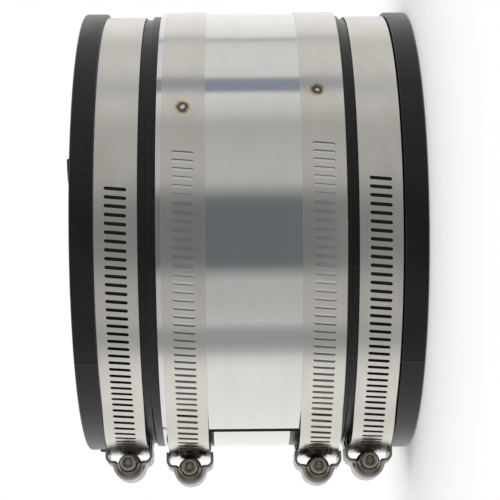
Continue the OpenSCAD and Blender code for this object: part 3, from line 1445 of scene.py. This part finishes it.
@dataclass
class WeldSpot:
    """A small spot weld on a strap.

    Args:
        clamp: The clamp whose strap it is on.
        angle: Its angle round the bore.
        along: Its height along the bore.
    """

    clamp: Clamp
    angle: float
    along: float
    proud: float = 0.14
    reach: float = 1.1
    profile: tuple[Pair, ...] = (
        (1.0, -0.05),
        (0.96, 0.05),
        (0.82, 0.95),
        (0.6, 1.0),
        (0.4, 0.55),
        (0.2, 0.3),
        (0.02, 0.25),
    )

    @property
    def centre(self) -> Triple:
        """Gives the weld's place in metres."""
        return tuple(polar(self.clamp.seat + self.clamp.strap_t, self.angle, self.along) * MM)

    def build(self, steel: Material) -> Piece:
        """Builds the weld's low button.

        Args:
            steel: The finish.

        Returns:
            The piece.
        """
        top = self.clamp.seat + self.clamp.strap_t
        rings = []
        for share, height in self.profile:
            radius = self.reach * share
            ring = []
            for turn in spread(0, 345, 23):
                t = math.radians(turn)
                angle = self.angle + math.degrees(radius * math.sin(t) / top)
                ring.append(polar(top + self.proud * height, angle, self.along + radius * math.cos(t)))
            rings.append(ring)
        return closed_piece(f"{self.clamp.name}_weld", rings, Matrix(), steel)


# ---- studio ----

SLATE_CARD: Triple = (0.017, 0.033, 0.048)
BLUE_CARD: Triple = (0.1, 0.14, 0.2)


@dataclass(frozen=True)
class Heading:
    """One direction of the light tent.

    Args:
        heading: The direction round the bore, in degrees.
    """

    heading: float

    @property
    def place(self) -> float:
        """Gives the direction's place on a ramp that goes once round the bore."""
        return (self.heading + 180) / 360


@dataclass(frozen=True)
class Band(Heading):
    """How bright the light tent is in one direction, and how blue.

    Args:
        bright: Its brightness.
        cool: How far it leans to blue.
    """

    bright: float
    cool: float = 0.0

    def colour(self, full: float) -> tuple[float, float, float, float]:
        """Gives the band's colour as a share of full brightness."""
        b = self.bright / full
        return (b * (1 - 0.12 * self.cool), b, b * (1 + 0.06 * self.cool), 1.0)


@dataclass(frozen=True)
class Card(Heading):
    """One edge of a small dark card in the light tent.

    Args:
        share: How far the card covers the tent there.
        colour: Its colour.
    """

    share: float
    colour: Triple = SLATE_CARD


@dataclass
class Studio:
    """A pale floor, a soft light tent with a few grey cards, and the camera."""

    full: float = 1.5
    bands: tuple[Band, ...] = (
        Band(-180, 0.86),
        Band(-172, 0.9),
        Band(-160, 0.88),
        Band(-154, 0.82),
        Band(-151, 0.6, 0.5),
        Band(-147, 0.98),
        Band(-140, 1.08),
        Band(-128, 1.14),
        Band(-116, 1.1),
        Band(-104, 1.05),
        Band(-90, 0.7),
        Band(-76, 1.05),
        Band(-64, 1.12),
        Band(-46, 1.16),
        Band(-24, 1.12),
        Band(0, 1.08),
        Band(18, 1.04),
        Band(25, 0.88),
        Band(30, 0.56, 0.3),
        Band(35, 0.43, 0.4),
        Band(41, 0.45, 0.3),
        Band(46, 0.7),
        Band(58, 0.62),
        Band(72, 0.6),
        Band(110, 0.6),
        Band(126, 0.64),
        Band(138, 0.6),
        Band(148, 0.56),
        Band(156, 0.76),
        Band(166, 0.88),
        Band(180, 0.86),
    )
    cards: tuple[Card, ...] = (
        Card(68, 0.0),
        Card(76, 0.7),
        Card(80, 0.73),
        Card(104, 0.73),
        Card(108, 0.68),
        Card(117, 0.0),
        Card(166.5, 0.0, BLUE_CARD),
        Card(168.5, 0.76, BLUE_CARD),
        Card(175.5, 0.76, BLUE_CARD),
        Card(178.5, 0.0, BLUE_CARD),
    )
    roof: tuple[Band, ...] = (
        Band(-180, 0.95),
        Band(-90, 1.15),
        Band(0, 1.05),
        Band(30, 0.75),
        Band(58, 0.26),
        Band(90, 0.16),
        Band(122, 0.26),
        Band(150, 0.75),
        Band(180, 0.95),
    )
    card_reach: Pair = (0.06, 0.1)
    card_rest: float = 0.35
    roof_from: Pair = (0.14, 0.42)
    crown_from: Pair = (0.72, 0.92)
    crown: float = 1.15
    floor_half: float = 3.0
    eye: Triple = (-26.25, 620.0, 5.64)
    aim: Triple = (7.9, 0.0, -1.2)
    top: Triple = (-0.99846, -0.05488, -0.0086)
    lens: float = 106.3

    def light(self) -> None:
        """Builds the light tent round the coupling."""
        world = bpy.data.worlds.new("light_tent")
        bpy.context.scene.world = world
        world.use_nodes = True
        world.node_tree.nodes.clear()
        bench = Bench(world.node_tree)
        way = bench.node("ShaderNodeSeparateXYZ", {0: bench.node("ShaderNodeTexCoord").outputs["Generated"]})
        heading = bench.math("ARCTAN2", way.outputs["Y"], way.outputs["X"])
        share = bench.math("ADD", bench.math("DIVIDE", heading, 2 * math.pi), 0.5)
        tent = bench.ramp(share, [(b.place, b.colour(self.full)) for b in self.bands])
        card = bench.ramp(share, [(c.place, (*c.colour, c.share)) for c in self.cards])
        height = bench.math("ABSOLUTE", way.outputs["Z"])
        level = bench.rise(height, self.card_reach, 1.0, self.card_rest)
        dark = bench.math("MULTIPLY", card.outputs["Alpha"], level)
        carded = bench.mix(dark, tent.outputs[0], card.outputs["Color"])
        roof = bench.ramp(share, [(b.place, b.colour(self.full)) for b in self.roof])
        above = self.crown / self.full
        roofed = bench.mix(bench.rise(height, self.roof_from), carded, roof.outputs[0])
        whole = bench.mix(bench.rise(height, self.crown_from), roofed, (above, above, above, 1))
        seen = bench.node("ShaderNodeBackground", {"Color": (1, 1, 1, 1), "Strength": 1.0})
        lit = bench.node("ShaderNodeBackground", {"Color": whole, "Strength": self.full})
        path = bench.node("ShaderNodeLightPath").outputs["Is Camera Ray"]
        both = bench.node("ShaderNodeMixShader", {0: path, 1: lit.outputs[0], 2: seen.outputs[0]})
        bench.node("ShaderNodeOutputWorld", {"Surface": both.outputs[0]})

    def floor(self, height: float) -> Piece:
        """Builds the floor.

        Args:
            height: Its height in metres.

        Returns:
            The floor.
        """
        mesh = bpy.data.meshes.new("floor")
        half = self.floor_half
        corners = [(x * half, y * half, height) for x, y in ((-1, -1), (1, -1), (1, 1), (-1, 1))]
        mesh.from_pydata(corners, [], [(0, 1, 2, 3)])
        material, bench, shader = new_material("pale_floor")
        patches = bench.span(bench.noise((3, 3, 3)), 0.0, 1.0)
        tone = bench.mix(patches, (0.9, 0.9, 0.9, 1), (0.93, 0.93, 0.93, 1))
        bench.tree.links.new(tone, shader.inputs["Base Color"])
        shader.inputs["Roughness"].default_value = 0.9
        shader.inputs["Emission Color"].default_value = (1, 1, 1, 1)
        shader.inputs["Emission Strength"].default_value = 0.22
        mesh.materials.append(material)
        floor = bpy.data.objects.new("floor", mesh)
        bpy.context.scene.collection.objects.link(floor)
        floor.visible_glossy = False
        floor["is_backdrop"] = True
        return floor

    def camera(self) -> None:
        """Sets up the camera."""
        made = bpy.data.objects.new("camera", bpy.data.cameras.new("camera"))
        made.data.lens = self.lens
        made.data.sensor_width = 36
        made.data.clip_start, made.data.clip_end = 0.01, 20
        bpy.context.scene.collection.objects.link(made)
        ahead = (Vector(self.aim) - Vector(self.eye)).normalized()
        right = ahead.cross(Vector(self.top)).normalized()
        up = right.cross(ahead)
        turn = Matrix((right, up, -ahead)).transposed().to_4x4()
        made.matrix_world = Matrix.Translation(Vector(self.eye) * MM) @ turn
        bpy.context.scene.camera = made

    def build(self, height: float) -> None:
        """Builds the whole studio.

        Args:
            height: The floor's height in metres.
        """
        self.light()
        self.floor(height)
        self.camera()
        bpy.context.scene.view_settings.view_transform = "Standard"


# ---- the whole coupling ----


@dataclass
class Coupling:
    """All the visible pieces of the coupling."""

    clamps: tuple[Clamp, ...] = field(
        default_factory=lambda: (
            Clamp("upper_outer", Rides.UPPER_OUTER, 88.25, 85.6),
            Clamp("upper_inner", Rides.RING, 90.2, 95.2),
            Clamp("lower_inner", Rides.RING, 90.2, 97.2),
            Clamp("lower_outer", Rides.LOWER_OUTER, 88.25, 89.4),
        )
    )
    pieces: int = 0

    def take(self, piece: Piece, body: Rides) -> None:
        """Lets a piece ride on a body and reports it.

        Args:
            piece: The piece.
            body: The body.
        """
        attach(piece, body.value)
        self.pieces += 1
        LOG.info("%s rides on %s (%d faces)", piece.name, body.value, len(piece.data.polygons))

    def keep(self, node: str, finish: Material, round_edge: float) -> None:
        """Keeps a CAD node and dresses it.

        Args:
            node: The name of the node.
            finish: Its material.
            round_edge: The rounding of its edges in millimetres.
        """
        part = frame["nodes"][node]
        part.data.materials.clear()
        part.data.materials.append(finish)
        soften(part, round_edge, 40.0)
        LOG.info("%s kept from the frame", node)

    def build(self) -> None:
        """Builds and dresses every piece."""
        rubber = MouldedRubber().make()
        clean = ((0.66, 0.655, 0.635), (0.6, 0.585, 0.55))
        sheet = RolledSteel("rolled_sheet", *clean, (0.05, 0.1), 0.0000015, 0.000012).make()
        for piece in Sleeve().build(rubber):
            self.take(piece, Rides.ROOT)
        inner = {clamp.name: clamp for clamp in self.clamps}
        welds = (WeldSpot(inner["upper_inner"], 122.7, 24.0), WeldSpot(inner["lower_inner"], 127.5, -25.6))
        tints = tuple(HeatTint(weld.centre) for weld in welds)
        warm = ((0.625, 0.603, 0.557), (0.545, 0.515, 0.455))
        outer_steel = RolledSteel("outer_strap_steel", *warm, (0.22, 0.32), 0.000003, 0.000012).make()
        inner_steel = RolledSteel("inner_strap_steel", *warm, (0.13, 0.21), 0.000003, 0.000012, tints).make()
        steel_look = ((0.6, 0.58, 0.55), (0.4, 0.37, 0.335), (0.2, 0.34))
        pressed = PressedMetal("pressed_steel", *steel_look).make()
        # the housings get a painted dark reflection on their domed fronts
        fronted = PressedMetal("reflection_darkened_steel", *steel_look, dark_reflection_from=(0.0048, 0.0064)).make()
        plated = PressedMetal("olive_plating", (0.42, 0.39, 0.3), (0.2, 0.18, 0.12), (0.28, 0.42)).make()
        self.take(ShearRing().build(self.clamps[1], sheet), Rides.RING)
        # painted shade: a black strip under the lap edge stands in for its shadow line
        self.take(ShearRing().lap_shadow(self.clamps[1], PaintedShadeBlack().make()), Rides.RING)
        for clamp in self.clamps:
            is_inner = clamp.body is Rides.RING
            steel = inner_steel if is_inner else outer_steel
            self.take(SlottedStrap(clamp).build(steel), clamp.body)
            under, leader_t = (89.3, 0.5) if is_inner else (87.98, 0.24)
            for piece in FixedEnd(clamp, under, leader_t).build(outer_steel):
                self.take(piece, Rides.ROOT)
            self.take(Housing(clamp).build(fronted), Rides.ROOT)
            self.keep(f"{clamp.name}_saddle", pressed, 0.15)
            screw = WormScrew(clamp).build(plated)
            self.take(screw, clamp.screw_body)
        for weld in welds:
            self.take(weld.build(inner_steel), weld.clamp.body)


def main() -> None:
    """Builds the coupling and its studio."""
    logging.basicConfig(level=logging.INFO, format="%(name)s: %(message)s")
    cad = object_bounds()
    coupling = Coupling()
    coupling.build()
    Studio().build(cad[0].z)
    LOG.info("%d pieces built", coupling.pieces)


if __name__ == "__main__":
    main()
